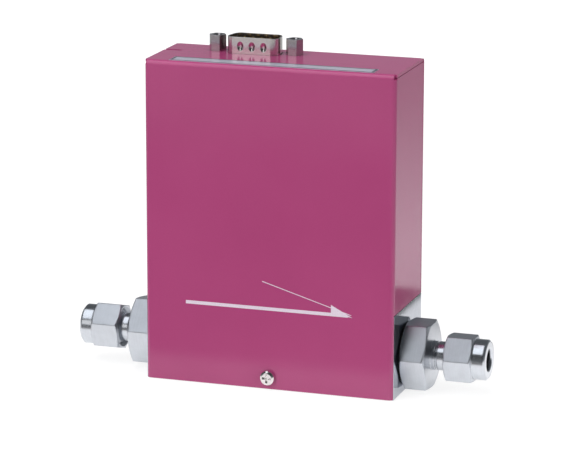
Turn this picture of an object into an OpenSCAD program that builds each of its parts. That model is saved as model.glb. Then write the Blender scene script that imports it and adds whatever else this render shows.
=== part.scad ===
// Thermal mass flow controller for gas, with compression fittings and a 9-way plug.
// X runs along the flow from inlet to outlet, Y from front to rear, Z up.
// The origin is the middle of the mounting face. Sizes are in millimetres.

/* [Cover] */
// Width of the cover and the block, along the flow
cover_w = 80; // [76:0.5:110]
// Depth of the cover, front to rear
cover_d = 31; // [30.5:0.5:45]
// Height of the cover's top above the mounting face
cover_h = 101; // [98:0.5:130]
// Thickness of the cover's sheet
sheet_t = 1; // [0.8:0.1:1.2]
// Inner radius of the cover's folds
bend_r = 0.5; // [0.2:0.1:1.2]
// Gap left at each seam of the cover
seam_gap = 0.2; // [0.1:0.05:0.6]
// Width of the block's lips beside the foot of the rear flap
rear_lip = 2.5; // [1.5:0.1:6]
// Height of the flaps' lower edges above the mounting face
flap_lift = 0.2; // [0:0.1:1]
// Size of the relief cut where two folds meet
relief = 1.5; // [1.2:0.1:2.5]
// Length of the slot at the inlet end of the top
slot_len = 5.5; // [3:0.5:8]
// Width of that slot
slot_w = 1.3; // [0.8:0.1:2.5]
// Distance of that slot behind the cover's middle
slot_y = 3; // [0:0.5:6]
// Height of the two cover screws above the mounting face
cover_screw_z = 3.9; // [3.2:0.1:4.5]

/* [Base block] */
// Height of the base block
block_h = 26.5; // [25:0.5:30]
// Height of the flow axis above the mounting face
port_z = 11.3; // [10.9:0.1:12]
// Radius of the threaded port in each end
port_r = 7.15; // [6.8:0.05:7.4]
// Depth of the threaded port
port_depth = 11; // [9:0.5:12]
// Radius of the main bore, which holds the bypass element
bypass_r = 5.2; // [4.4:0.1:5.4]
// Distance from each end of the bypass element to its sensor tap
tap_offset = 2.5; // [2:0.1:4]
// Radius of the sensor taps
tap_r = 1; // [0.6:0.1:1.2]
// Radius of the bore from the bypass to the valve
link_r = 1.6; // [1:0.1:2]
// Distance of the valve's axis from the outlet face
valve_inset = 19; // [18.5:0.5:20]
// Spacing of the mounting holes along the flow
mount_x = 64; // [50:0.5:70]
// Spacing of the mounting holes from front to rear
mount_y = 19; // [18.5:0.5:21]
// Radius of the mounting holes
mount_r = 2; // [1.5:0.1:2.1]
// Depth of the mounting holes
mount_depth = 7; // [5:0.5:8]

/* [Fittings] */
// Width across the flats of the fitting body's hexagon
body_af = 20; // [18.5:0.1:20.2]
// Length of that hexagon
body_hex_len = 8; // [6:0.1:9]
// Thickness of the seal ring under that hexagon
seal_t = 0.4; // [0.3:0.1:1.2]
// Radius of the smooth neck between the body's hexagon and the nut
neck_r = 4.5; // [4.2:0.1:5]
// Length of neck that shows
neck_len = 4.8; // [4.2:0.1:9]
// Radius of the body's thread inside the nut
nut_thread_r = 5.5; // [5.4:0.05:5.7]
// Width across the flats of the nut
nut_af = 13.6; // [13:0.1:15]
// Length of the nut's hexagon
nut_hex_len = 8.8; // [8.4:0.1:10]
// Radius of the nut's round end
nut_end_r = 6.3; // [5.8:0.1:6.5]
// Length of the nut's round end
nut_end_len = 4.2; // [3.6:0.1:5]
// Radius of the socket for the tube
socket_r = 3.2; // [2.8:0.05:3.4]
// Depth of that socket
socket_depth = 8; // [6:0.5:10]
// Radius of the bore through the fitting
flow_r = 2.4; // [1.5:0.1:2.6]
// Angle of the outlet body's hexagon
outlet_body_turn = 28; // [0:1:59]
// Angle of the outlet nut
outlet_nut_turn = 26; // [0:1:59]
// Angle of the inlet body's hexagon
inlet_body_turn = 21; // [0:1:59]
// Angle of the inlet nut
inlet_nut_turn = 14; // [0:1:59]

/* [Filter] */
// Radius of the inlet filter disc
filter_r = 6.2; // [5.6:0.1:6.6]
// Thickness of the inlet filter disc
filter_t = 2; // [1:0.1:2.5]

/* [Sensor] */
// Height of the sensor base
sensor_base_h = 7; // [5:0.5:9]
// Depth of the sensor base, front to rear
sensor_base_d = 16; // [15:0.5:18]
// Length of the sensor base beyond each tap
sensor_base_end = 7.5; // [7.2:0.1:9]
// Height of the sensor tube above the sensor base
sensor_rise = 20; // [14:0.5:24]
// Outer radius of the sensor tube
sensor_tube_r = 0.5; // [0.4:0.05:0.6]
// Radius of the sensor tube's bends
sensor_bend_r = 4; // [3:0.5:5]
// Gap between the two sensor windings
winding_gap = 1.5; // [1:0.1:2]
// Bare tube left between each winding and its bend
winding_end = 1.75; // [1:0.05:2.5]
// Outer radius of the sensor windings
winding_r = 1.1; // [0.9:0.1:1.5]
// Wall of the sensor housing
housing_t = 1.2; // [0.8:0.1:1.4]
// Depth of the sensor housing, front to rear
housing_d = 13; // [10:0.5:14]

/* [Valve] */
// Radius of the valve chamber
chamber_r = 6; // [5.8:0.1:6.4]
// Depth of the valve chamber below the block's top
chamber_depth = 9.5; // [8:0.5:10]
// Width of the bonnet's flange along the flow
bonnet_w = 22; // [21.5:0.5:23.5]
// Depth of the bonnet's flange, front to rear
bonnet_d = 21; // [20.5:0.5:24]
// Thickness of the bonnet's flange
bonnet_t = 4; // [3:0.5:5]
// Radius of the plunger
plunger_r = 4.44; // [4.2:0.02:4.7]
// Length of the plunger
plunger_len = 26; // [22:0.5:30]
// Travel of the plunger from shut to fully open
valve_travel = 0.4; // [0.2:0.05:0.6]
// Running gap between the plunger and the sleeve
plunger_gap = 0.06; // [0.03:0.01:0.1]
// Wall of the sleeve
sleeve_t = 0.5; // [0.4:0.05:0.7]
// Length of the pole piece inside the sleeve
pole_len = 12; // [10:0.5:14]
// Outer radius of the coil
coil_r = 10; // [9:0.1:10.4]
// Thickness of the yoke's strap
yoke_t = 1.2; // [1:0.1:1.6]
// Width of the yoke's strap
yoke_w = 16; // [14:0.5:18]

/* [Connector] */
// Place of the connector along the flow
plug_x = -11.5; // [-14:0.5:0]
// Place of the connector behind the cover's middle
plug_y = 7; // [6:0.5:7.5]
// Length of the connector's shell
shell_l = 16.92; // [16.5:0.02:17.5]
// Depth of the connector's shell
shell_d = 8.36; // [8:0.02:8.8]
// Corner radius of the connector's shell
shell_r = 2.5; // [1.5:0.1:2.8]
// Height of the shell above the cover's top
shell_rise = 5.2; // [4:0.1:6]
// Thickness of the shell's metal
shell_t = 0.4; // [0.3:0.05:0.5]
// Spacing of the two jackscrews
jack_spacing = 24.99; // [24.8:0.01:26]
// Width across the flats of a jackscrew
jack_af = 4.76; // [4.5:0.02:5]
// Height of a jackscrew above the cover's top
jack_h = 5; // [4:0.1:6]
// Radius of the threaded hole in a jackscrew
jack_hole_r = 1.15; // [1:0.05:1.25]

/* [Board] */
// Thickness of the circuit board
board_t = 1.6; // [1:0.1:2]
// Height of the board's lower edge above the block
board_z = 8; // [7.5:0.5:9]
// Height of the circuit board
board_h = 58; // [52:1:60]
// Space left between the board and each side of the cover
board_side = 1; // [0.5:0.1:1.2]

/* [Label] */
// Length of the label strip
label_l = 65; // [40:1:70]
// Width of the label strip
label_w = 5.9; // [4:0.1:7]
// Distance of the label strip from the front fold
label_inset = 1.7; // [1.6:0.1:3]

/* [Hidden] */

$fn = 64;
eps = 0.01;

// clearances
press_gap = 0.03;      // round part pressed or glued into its seat
thread_gap = 0.1;      // outside of a thread to the plain wall that stands for its mate
hole_gap = 0.15;       // screw in a clearance hole
coil_space = 0.8;      // coil to the yoke
sensor_space = 3;      // sensor base to the yoke

// cover and block
bend_out = bend_r + sheet_t;
in_d = cover_d - 2 * sheet_t;
face_x = cover_w / 2;
front_y = -cover_d / 2;
top_z = cover_h;
under_z = cover_h - sheet_t;
spigot_len = port_depth - 1;
drill_over = 0.6;      // length that a drilled passage runs past the hole it meets
m3_r = 1.45;
m3_head_r = 2.4;
m3_head_h = 1.7;
m25_r = 1.2;
m25_head_r = 2.1;
m25_head_h = 1.6;
cover_screw_len = 7.5;

// main bore, from the inlet face
bore_x0 = -face_x + port_depth;
bypass_x0 = bore_x0 + filter_t + 2 * tap_offset;
valve_x = face_x - valve_inset;
yoke_half = coil_r + coil_space + yoke_t;
sensor_x1 = valve_x - yoke_half - sensor_space;
tap_x = [bypass_x0 - tap_offset, sensor_x1 - sensor_base_end];
bypass_len = tap_x[1] - tap_offset - bypass_x0;
tap_mid = (tap_x[0] + tap_x[1]) / 2;
bypass_end = tap_x[1] + tap_offset;

// valve
chamber_z = block_h - chamber_depth;
feed_r = 1.1;
feed_x = valve_x - chamber_r + feed_r + 0.2;
seat_r = 3;
seat_sink = 1.2;
seat_h = 3.3;
seat_bore_r = 0.6;
outlet_bore_r = 1.2;
seat_top = chamber_z - seat_sink + seat_h;
shut_gap = 0.02;
plunger_z = seat_top + shut_gap;
plunger_top = plunger_z + plunger_len;
pole_z = plunger_top + valve_travel + shut_gap;
sleeve_in = plunger_r + plunger_gap;
sleeve_out = sleeve_in + sleeve_t;
sleeve_top = pole_z + pole_len;
flange_z = block_h + bonnet_t;
coil_z0 = flange_z + yoke_t;
coil_z1 = sleeve_top;
yoke_top = coil_z1 + yoke_t;
stud_r = 2.5;
stud_len = 7.5;
nut_t = 4;
nut_across = 8;
spring_wire_r = 0.3;
spring_r = 1.9;
spring_bore_r = 2.6;
spring_bore_depth = 7;
spring_turns = 6;
spring_z0 = plunger_top - spring_bore_depth;
bonnet_screw = [bonnet_w / 2 - 3, bonnet_d / 2 - 2.9];
bonnet_screw_bite = 7;
bobbin_wall = 0.8;
disc_r = 1.8;
disc_t = 1.5;

// sensor
ring_r = 0.7;                        // section of the sensor's seal rings
ring_mid = tap_r + ring_r + 0.3;
base_top = block_h + sensor_base_h;
sensor_x0 = tap_x[0] - sensor_base_end;
sensor_l = tap_x[1] - tap_x[0] + 2 * sensor_base_end;
sensor_screw = [sensor_l / 2 - 2.3, sensor_base_d / 2 - 2.3];
tube_z = base_top + sensor_rise;
winding_len = (tap_x[1] - tap_x[0] - winding_gap) / 2 - sensor_bend_r - winding_end;
tube_z0 = block_h + 0.6;
foot_t = 1.5;
housing_l = tap_x[1] - tap_x[0] + 5;
housing_top = tube_z + winding_r + 2.5;

// board
board_gap = 1.2;
board_y = front_y + sheet_t + board_gap;
board_back = board_y + board_t;
board_w = cover_w - 2 * sheet_t - 2 * board_side;
board_z0 = block_h + board_z;
board_z1 = board_z0 + board_h;
bracket_t = 1;
bracket_w = 5;
bracket_foot = 6.5;
bracket_screw_bite = 4;
bracket_hole_in = 2.8;
bracket_x = board_w / 2 - bracket_w / 2;
bracket_h = board_z + 6;
board_screw_z = block_h + bracket_h - 2.8;
corner_hole_z = board_z1 - 4;

// connector
insulator_rise = 0.6;
flange_t = 0.8;
flange_l = jack_spacing + 5.8;
flange_w = 12.4;
pin_pitch = 2.77;
pin_row = 1.42;
pin_r = 0.5;
plug_back = 9;                       // depth of the insulator behind the flange
cup_len = 3;
jack_stud_r = 1.35;
jack_nut_t = 2.4;
jack_sink = 0.4;
back_body = [jack_spacing - jack_af / cos(30) - 0.3, 10.6];   // insulator behind the flange
cable_w = 12.4;
cable_t = 0.9;
cable_bend = 4;
header_h = 8.5;
header_t = 6;
header_end = 1;
cable_drop = 10;
header_z = under_z - flange_t - plug_back - cup_len - cable_drop;

// fittings, measured outward from the block's end face
hex_u = seal_t;
neck_u = hex_u + body_hex_len;
nut_u = neck_u + neck_len;
nut_end_u = nut_u + nut_hex_len;
end_u = nut_end_u + nut_end_len;
grip_u = end_u - 2.2;                // inside of the nut's closed end
back_ferrule_len = 1.6;
back_u = grip_u - back_ferrule_len - press_gap;
body_u = back_u - 1.9;               // outer end of the fitting body
cone_len = 2.8;
cone_r = socket_r + 1.2;
ferrule_in = socket_r + 0.03;
nut_hole_r = socket_r + 0.1;
nut_bore_r = nut_thread_r + thread_gap;
nut_mouth_r = nut_af / 2 - 0.38;      // countersink at the nut's open end
seal_in_r = 6.2;
seal_out_r = 9.2;

function arc(c, r, a0, a1, n = 8) =
    [for (i = [0:n]) c + r * [cos(a0 + (a1 - a0) * i / n), sin(a0 + (a1 - a0) * i / n)]];

// ---------- shared shapes ----------

// revolve an outline of [distance along X, radius] points about the X axis
module turned(points) {
    rotate([0, 90, 0])
        rotate_extrude()
            polygon([for (p = points) [p[1], p[0]]]);
}

// hexagonal bar along X from x0, with both ends chamfered; turn is its angle about X
module hex_bar(af, x0, len, turn, chamfer) {
    corner_r = af / 2 / cos(30);
    flat_r = af / 2;
    intersection() {
        translate([x0, 0, 0])
            rotate([turn, 0, 0])
                rotate([0, 90, 0])
                    cylinder(r = corner_r, h = len, $fn = 6);
        turned([
            [x0, 0], [x0, flat_r - 0.1], [x0 + chamfer, corner_r + eps],
            [x0 + len - chamfer, corner_r + eps], [x0 + len, flat_r - 0.1], [x0 + len, 0]
        ]);
    }
}

// hole along X
module bore_x(r, x0, x1) {
    translate([x0, 0, 0])
        rotate([0, 90, 0])
            cylinder(r = r, h = x1 - x0);
}

// pan-head screw with a cross recess, its head's underside at z = 0 and its shank below
module pan_screw(shank_r, shank_len, head_r, head_h) {
    edge_r = head_h * 0.6;
    recess_w = head_r * 0.3;
    difference() {
        union() {
            translate([0, 0, -shank_len])
                cylinder(r = shank_r, h = shank_len + eps);
            rotate_extrude()
                polygon(concat(
                    [[0, 0], [head_r, 0]],
                    arc([head_r - edge_r, head_h - edge_r], edge_r, 0, 80),
                    [[0, head_h]]
                ));
        }
        for (a = [0, 90])
            rotate([0, 0, a])
                translate([-head_r * 0.6, -recess_w / 2, head_h * 0.35])
                    cube([head_r * 1.2, recess_w, head_h]);
    }
}

// flat ring, its lower face at z = 0
module washer(inner_r, outer_r, t) {
    difference() {
        cylinder(r = outer_r, h = t);
        translate([0, 0, -eps])
            cylinder(r = inner_r, h = t + 2 * eps);
    }
}

// round seal ring lying flat, centred on z = 0
module seal_ring(mid_r, section_r) {
    rotate_extrude()
        translate([mid_r, 0])
            circle(r = section_r, $fn = 24);
}

// places what is modelled outward along X at the inlet (-1) or the outlet (1)
module at_port(side) {
    translate([side * face_x, 0, port_z])
        mirror([side < 0 ? 1 : 0, 0, 0])
            children();
}

// copies to the four corners of a rectangle of half sizes h
module at_corners(h) {
    for (sx = [-1, 1])
        for (sy = [-1, 1])
            translate([sx * h[0], sy * h[1], 0])
                children();
}

// ---------- cover ----------

// plan of the folded front and sides, moved inward by inset; open-ended behind
module cover_plan(inset) {
    x = face_x - inset;
    y = front_y + inset;
    r = bend_out - inset;
    polygon(concat(
        [[-x, cover_d / 2]],
        arc([-x + r, y + r], r, 180, 270),
        arc([x - r, y + r], r, 270, 360),
        [[x, cover_d / 2]]
    ));
}

// section of the front flap, top and rear flap, in Y and Z
module wrap_section() {
    y = cover_d / 2;
    yi = y - sheet_t;
    polygon(concat(
        [[-y, flap_lift]],
        arc([-y + bend_out, top_z - bend_out], bend_out, 180, 90),
        arc([y - bend_out, top_z - bend_out], bend_out, 90, 0),
        [[y, flap_lift], [yi, flap_lift]],
        arc([y - bend_out, top_z - bend_out], bend_r, 0, 90),
        arc([-y + bend_out, top_z - bend_out], bend_r, 90, 180),
        [[-yi, flap_lift]]
    ));
}

module side_panels() {
    z0 = block_h + seam_gap;
    z1 = under_z - seam_gap;
    translate([0, 0, z0])
        linear_extrude(z1 - z0)
            difference() {
                cover_plan(0);
                cover_plan(sheet_t);
                translate([-face_x - 1, cover_d / 2 - sheet_t - seam_gap])
                    square([cover_w + 2, cover_d]);
            }
}

module cover() {
    color([0.64, 0.28, 0.45])
        difference() {
            union() {
                intersection() {
                    translate([-face_x, 0, 0])
                        rotate([90, 0, 90])
                            linear_extrude(cover_w)
                                wrap_section();
                    linear_extrude(cover_h)
                        cover_plan(0);
                }
                side_panels();
            }
            corner_reliefs();
            rear_notches();
            translate([-face_x - 1, slot_y - slot_w / 2, under_z - seam_gap - eps])
                cube([slot_len + 1, slot_w, sheet_t + seam_gap + 1]);
            translate([plug_x, plug_y, under_z - 1])
                linear_extrude(sheet_t + 2)
                    polygon(shell_outline(hole_gap));
            for (s = [-1, 1])
                translate([plug_x + s * jack_spacing / 2, plug_y, under_z - 1])
                    cylinder(r = jack_stud_r + hole_gap, h = sheet_t + 2);
            translate([0, 0, cover_screw_z])
                rotate([90, 0, 0])
                    cylinder(r = m3_r + hole_gap, h = cover_d + 2, center = true);
        }
}

// cuts that free the top from the sides at its four corners
module corner_reliefs() {
    for (s = [-1, 1]) {
        translate([s * face_x - relief / 2, front_y - 1, top_z - bend_out])
            cube([relief, 1 + bend_out, bend_out + 1]);
        translate([s * face_x - relief / 2, cover_d / 2 - bend_out - seam_gap, top_z - bend_out])
            cube([relief, bend_out - sheet_t + 2 * seam_gap, bend_out + 1]);
    }
}

// cuts beside the foot of the rear flap, which lies between the block's rear lips
module rear_notches() {
    for (s = [-1, 1])
        translate([s * face_x, cover_d / 2, 0])
            cube([2 * rear_lip, 2 * (sheet_t + seam_gap), 2 * (block_h + seam_gap)], center = true);
}

module cover_screws() {
    color([0.8, 0.78, 0.8])
        for (s = [-1, 1])
            translate([0, s * cover_d / 2, cover_screw_z])
                rotate([-s * 90, 0, 0])
                    pan_screw(m3_r, cover_screw_len, m3_head_r, m3_head_h);
}

// ---------- block ----------

module base_block() {
    color([0.72, 0.73, 0.75])
        difference() {
            union() {
                translate([-face_x, -in_d / 2, 0])
                    cube([cover_w, in_d, block_h]);
                for (s = [-1, 1])
                    translate([s * (face_x - (rear_lip - seam_gap) / 2), in_d / 2, block_h / 2])
                        cube([rear_lip - seam_gap, 2 * sheet_t, block_h], center = true);
            }
            flow_bores();
            for (x = tap_x)
                translate([x, 0, port_z]) {
                    cylinder(r = tap_r, h = block_h);
                    translate([0, 0, block_h - port_z - 2 * ring_r])
                        cylinder(r = ring_mid + ring_r + 0.1, h = 4);
                }
            valve_cavity();
            block_tapped_holes();
        }
}

module flow_bores() {
    for (s = [-1, 1])
        at_port(s)
            bore_x(port_r, -port_depth, 1);
    translate([0, 0, port_z]) {
        bore_x(filter_r + press_gap, bore_x0 - 1, bore_x0 + filter_t);
        bore_x(bypass_r, bore_x0, bypass_end);
        bore_x(link_r, bypass_end - 1, feed_x + feed_r + drill_over);
        bore_x(flow_r, valve_x - outlet_bore_r - drill_over, face_x);
    }
}

module valve_cavity() {
    translate([valve_x, 0, 0]) {
        translate([0, 0, chamber_z])
            cylinder(r = chamber_r, h = block_h);
        translate([0, 0, chamber_z - seat_sink])
            cylinder(r = seat_r + press_gap, h = seat_sink + 1);
        translate([0, 0, port_z])
            cylinder(r = outlet_bore_r, h = chamber_z - port_z);
        translate([0, 0, block_h - 2 * ring_r])
            cylinder(r = chamber_r + 2 * ring_r + 0.3, h = 4);
    }
    translate([feed_x, 0, port_z])
        cylinder(r = feed_r, h = chamber_z - port_z + 1);
}

module block_tapped_holes() {
    translate([0, 0, cover_screw_z])
        rotate([90, 0, 0])
            difference() {
                cylinder(r = m3_r + thread_gap, h = cover_d, center = true);
                cylinder(r = m3_r + 1, h = in_d - 2 * (cover_screw_len - sheet_t) - 2, center = true);
            }
    translate([0, 0, -1])
        at_corners([mount_x / 2, mount_y / 2])
            cylinder(r = mount_r, h = mount_depth + 1);
    translate([valve_x, 0, block_h - 8])
        at_corners(bonnet_screw)
            cylinder(r = m3_r + thread_gap, h = 9);
    translate([tap_mid, 0, block_h - 5])
        at_corners(sensor_screw)
            cylinder(r = m25_r + thread_gap, h = 6);
    for (s = [-1, 1])
        translate([s * bracket_x, bracket_hole_y(), block_h - 5])
            cylinder(r = m25_r + thread_gap, h = 6);
}

module inlet_filter() {
    color([0.62, 0.6, 0.56])
        translate([0, 0, port_z])
            bore_x(filter_r, bore_x0, bore_x0 + filter_t);
}

// rod with shallow flutes along it, which split the flow
module bypass_element() {
    flutes = 12;
    color([0.75, 0.75, 0.77])
        translate([bypass_x0, 0, port_z])
            rotate([0, 90, 0])
                difference() {
                    cylinder(r = bypass_r - press_gap, h = bypass_len);
                    for (i = [0:flutes - 1])
                        rotate([0, 0, i * 360 / flutes])
                            translate([bypass_r, 0, -1])
                                cylinder(r = 0.6, h = bypass_len + 2, $fn = 16);
                }
}

// ---------- fittings ----------

module fitting_body(side, turn) {
    groove_u = neck_u + 1.5;
    color([0.78, 0.78, 0.8])
        at_port(side)
            difference() {
                union() {
                    turned([
                        [-spigot_len, 0], [-spigot_len, port_r - 0.9], [-spigot_len + 0.8, port_r - thread_gap],
                        [-0.8, port_r - thread_gap], [0, seal_in_r - thread_gap], [hex_u + eps, seal_in_r - thread_gap],
                        [hex_u + eps, neck_r], [groove_u, neck_r], [groove_u, neck_r - 0.4],
                        [groove_u + 0.6, neck_r - 0.4], [groove_u + 0.6, neck_r], [nut_u + 0.6, neck_r],
                        [nut_u + 1.2, nut_thread_r], [body_u - 0.5, nut_thread_r], [body_u, nut_thread_r - 0.5],
                        [body_u, 0]
                    ]);
                    hex_bar(body_af, hex_u, body_hex_len, turn, 0.7);
                }
                bore_x(flow_r, -spigot_len - 1, body_u + 1);
                bore_x(socket_r, body_u - socket_depth, body_u + 1);
                turned([
                    [body_u - cone_len, 0], [body_u - cone_len, socket_r], [body_u, cone_r],
                    [body_u + 1, cone_r], [body_u + 1, 0]
                ]);
            }
}

module inlet_fitting() {
    fitting_body(-1, inlet_body_turn);
}

module outlet_fitting() {
    fitting_body(1, outlet_body_turn);
}

module fitting_nut(side, turn) {
    color([0.8, 0.8, 0.82])
        at_port(side)
            difference() {
                union() {
                    hex_bar(nut_af, nut_u, nut_hex_len, turn, 0.5);
                    turned([
                        [nut_u + 1, 0], [nut_u + 1, nut_end_r], [end_u - 0.6, nut_end_r],
                        [end_u, nut_end_r - 0.6], [end_u, 0]
                    ]);
                }
                bore_x(nut_hole_r, nut_u, end_u + 1);
                bore_x(nut_bore_r, nut_u - 1, body_u + 0.3);
                bore_x(cone_r + 0.6, body_u, grip_u);
                turned([
                    [nut_u - eps, 0], [nut_u - eps, nut_mouth_r], [nut_u + 1, nut_bore_r], [nut_u + 1, 0]
                ]);
                turned([
                    [end_u - 0.4, 0], [end_u - 0.4, nut_hole_r], [end_u + eps, nut_hole_r + 0.4], [end_u + eps, 0]
                ]);
            }
}

module inlet_nut() {
    fitting_nut(-1, inlet_nut_turn);
}

module outlet_nut() {
    fitting_nut(1, outlet_nut_turn);
}

module fitting_seal(side) {
    color([0.1, 0.1, 0.1])
        at_port(side)
            rotate([0, 90, 0])
                washer(seal_in_r, seal_out_r, seal_t);
}

module inlet_seal_ring() {
    fitting_seal(-1);
}

module outlet_seal_ring() {
    fitting_seal(1);
}

// cone that the nut drives into the body's mouth
module front_ferrule(side) {
    slope = (cone_r - socket_r) / cone_len;
    tip_r = ferrule_in + 0.25;
    tip_u = body_u - cone_len + (tip_r - socket_r) / slope + 0.1;
    color([0.75, 0.75, 0.77])
        at_port(side)
            turned([
                [tip_u, ferrule_in], [tip_u, tip_r], [body_u, cone_r - 0.1 * slope], [body_u + 0.3, cone_r + 0.4],
                [back_u - press_gap, cone_r + 0.4], [back_u - press_gap, ferrule_in]
            ]);
}

module back_ferrule(side) {
    color([0.72, 0.72, 0.74])
        at_port(side)
            turned([
                [back_u, ferrule_in], [back_u, cone_r - 0.2], [back_u + 0.7, cone_r + 0.4],
                [back_u + back_ferrule_len, cone_r + 0.4], [back_u + back_ferrule_len, ferrule_in]
            ]);
}

module inlet_front_ferrule() {
    front_ferrule(-1);
}

module inlet_back_ferrule() {
    back_ferrule(-1);
}

module outlet_front_ferrule() {
    front_ferrule(1);
}

module outlet_back_ferrule() {
    back_ferrule(1);
}

// ---------- sensor ----------

module sensor_base() {
    color([0.7, 0.71, 0.73])
        difference() {
            translate([sensor_x0, -sensor_base_d / 2, block_h])
                cube([sensor_l, sensor_base_d, sensor_base_h]);
            for (x = tap_x)
                translate([x, 0, block_h - 1])
                    cylinder(r = sensor_tube_r + press_gap, h = sensor_base_h + 2, $fn = 32);
            translate([tap_mid, 0, block_h - 1])
                at_corners(sensor_screw)
                    cylinder(r = m25_r + hole_gap, h = sensor_base_h + 2);
        }
}

module sensor_seal_rings() {
    color([0.12, 0.12, 0.12])
        for (x = tap_x)
            translate([x, 0, block_h - ring_r])
                seal_ring(ring_mid, ring_r - 0.02);
}

// centre line of the sensor tube: up, across and down again
module tube_run(r) {
    span = tap_x[1] - tap_x[0];
    bend_z = tube_z - sensor_bend_r;
    for (x = tap_x)
        translate([x, 0, tube_z0])
            cylinder(r = r, h = bend_z - tube_z0, $fn = 32);
    translate([tap_x[0] + sensor_bend_r, 0, tube_z])
        rotate([0, 90, 0])
            cylinder(r = r, h = span - 2 * sensor_bend_r, $fn = 32);
    for (s = [0, 1])
        translate([tap_x[s] + (1 - 2 * s) * sensor_bend_r, 0, bend_z])
            rotate([90, 0, 0])
                rotate([0, 0, 90 - 90 * s])
                    rotate_extrude(angle = 90, $fn = 64)
                        translate([sensor_bend_r, 0])
                            circle(r = r, $fn = 32);
}

module sensor_tube() {
    color([0.8, 0.8, 0.8])
        difference() {
            tube_run(sensor_tube_r);
            tube_run(sensor_tube_r * 0.6);
            for (x = tap_x)
                translate([x, 0, tube_z0 - 1])
                    cylinder(r = sensor_tube_r * 0.6, h = 2, $fn = 32);
        }
}

// ridged sleeve of fine wire, from x0 along the sensor tube
module winding(x0) {
    turns = 10;
    pitch = winding_len / turns;
    color([0.72, 0.42, 0.2])
        translate([x0, 0, tube_z])
            turned(concat(
                [[0, sensor_tube_r + press_gap]],
                [for (i = [0:turns - 1])
                    for (p = [[0.15, winding_r - 0.12], [0.5, winding_r], [0.85, winding_r - 0.12]])
                        [(i + p[0]) * pitch, p[1]]],
                [[winding_len, sensor_tube_r + press_gap]]
            ));
}

module upstream_winding() {
    winding(tap_mid - winding_gap / 2 - winding_len);
}

module downstream_winding() {
    winding(tap_mid + winding_gap / 2);
}

// cap over the sensor tube, on a foot that shares the base's screws
module sensor_housing() {
    inner = [housing_l - 2 * housing_t, housing_d - 2 * housing_t];
    color([0.6, 0.61, 0.64])
        difference() {
            union() {
                translate([sensor_x0, -sensor_base_d / 2, base_top])
                    cube([sensor_l, sensor_base_d, foot_t]);
                translate([tap_mid - housing_l / 2, -housing_d / 2, base_top])
                    cube([housing_l, housing_d, housing_top - base_top]);
            }
            translate([tap_mid - inner[0] / 2, -inner[1] / 2, base_top - 1])
                cube([inner[0], inner[1], housing_top - housing_t - base_top + 1]);
            translate([tap_mid, 0, base_top - 1])
                at_corners(sensor_screw)
                    cylinder(r = m25_r + hole_gap, h = foot_t + 2);
            translate([tap_mid - flex_w / 2 - hole_gap, -housing_d / 2 - 1, flex_z - hole_gap])
                cube([flex_w + 2 * hole_gap, housing_t + 2, flex_t + 2 * hole_gap]);
        }
}

module sensor_screws() {
    color([0.7, 0.7, 0.7])
        translate([tap_mid, 0, base_top + foot_t])
            at_corners(sensor_screw)
                pan_screw(m25_r, sensor_base_h + foot_t + 4.5, m25_head_r, m25_head_h);
}

// ---------- valve ----------

module valve_seat() {
    lip_r = 1.2;
    z0 = chamber_z - seat_sink;
    color([0.78, 0.78, 0.8])
        translate([valve_x, 0, 0])
            rotate_extrude()
                polygon([
                    [seat_bore_r, z0], [seat_r, z0], [seat_r, chamber_z + 0.8], [lip_r, seat_top - 0.3],
                    [lip_r, seat_top], [seat_bore_r, seat_top]
                ]);
}

module valve_plunger() {
    color([0.66, 0.67, 0.7])
        translate([valve_x, 0, 0])
            difference() {
                translate([0, 0, plunger_z])
                    cylinder(r = plunger_r, h = plunger_len);
                translate([0, 0, spring_z0])
                    cylinder(r = spring_bore_r, h = spring_bore_depth + 1);
                translate([0, 0, plunger_z - 1])
                    cylinder(r = disc_r + press_gap, h = disc_t + 1);
                for (a = [0, 180])
                    rotate([0, 0, a])
                        translate([plunger_r - 0.5, -0.5, plunger_z - 1])
                            cube([2, 1, plunger_len + 2]);
            }
}

module plunger_seal() {
    color([0.15, 0.15, 0.15])
        translate([valve_x, 0, plunger_z])
            cylinder(r = disc_r, h = disc_t);
}

// helical compression spring between the plunger's bore and the pole piece
module plunger_spring() {
    sides = 8;
    per_turn = 20;
    rings = spring_turns * per_turn;
    z0 = spring_z0 + spring_wire_r;
    rise = pole_z - spring_z0 - 2 * spring_wire_r;
    points = [
        for (i = [0:rings])
            for (k = [0:sides - 1])
                let (a = 360 * i / per_turn, b = 360 * k / sides, r = spring_r + spring_wire_r * cos(b))
                    [r * cos(a), r * sin(a), z0 + rise * i / rings + spring_wire_r * sin(b)]
    ];
    walls = [
        for (i = [0:rings - 1])
            for (k = [0:sides - 1])
                let (n = (k + 1) % sides)
                    [i * sides + k, i * sides + n, (i + 1) * sides + n, (i + 1) * sides + k]
    ];
    first = [for (k = [0:sides - 1]) sides - 1 - k];
    last = [for (k = [0:sides - 1]) rings * sides + k];
    color([0.6, 0.6, 0.62])
        translate([valve_x, 0, 0])
            polyhedron(points, concat(walls, [first], [last]));
}

// flange, spigot and thin sleeve that keep the plunger in the gas
module valve_bonnet() {
    spigot = 2;
    color([0.76, 0.77, 0.79])
        translate([valve_x, 0, 0])
            difference() {
                union() {
                    translate([-bonnet_w / 2, -bonnet_d / 2, block_h])
                        cube([bonnet_w, bonnet_d, bonnet_t]);
                    translate([0, 0, block_h - spigot])
                        cylinder(r = chamber_r - press_gap, h = spigot + 1);
                    translate([0, 0, block_h])
                        cylinder(r = sleeve_out, h = sleeve_top - block_h);
                }
                translate([0, 0, block_h - spigot - 1])
                    cylinder(r = sleeve_in, h = sleeve_top - block_h + spigot + 2);
                translate([0, 0, block_h - 1])
                    at_corners(bonnet_screw)
                        cylinder(r = m3_r + hole_gap, h = bonnet_t + 2);
            }
}

module valve_seal_ring() {
    color([0.12, 0.12, 0.12])
        translate([valve_x, 0, block_h - ring_r])
            seal_ring(chamber_r + ring_r + 0.1, ring_r - 0.02);
}

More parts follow.
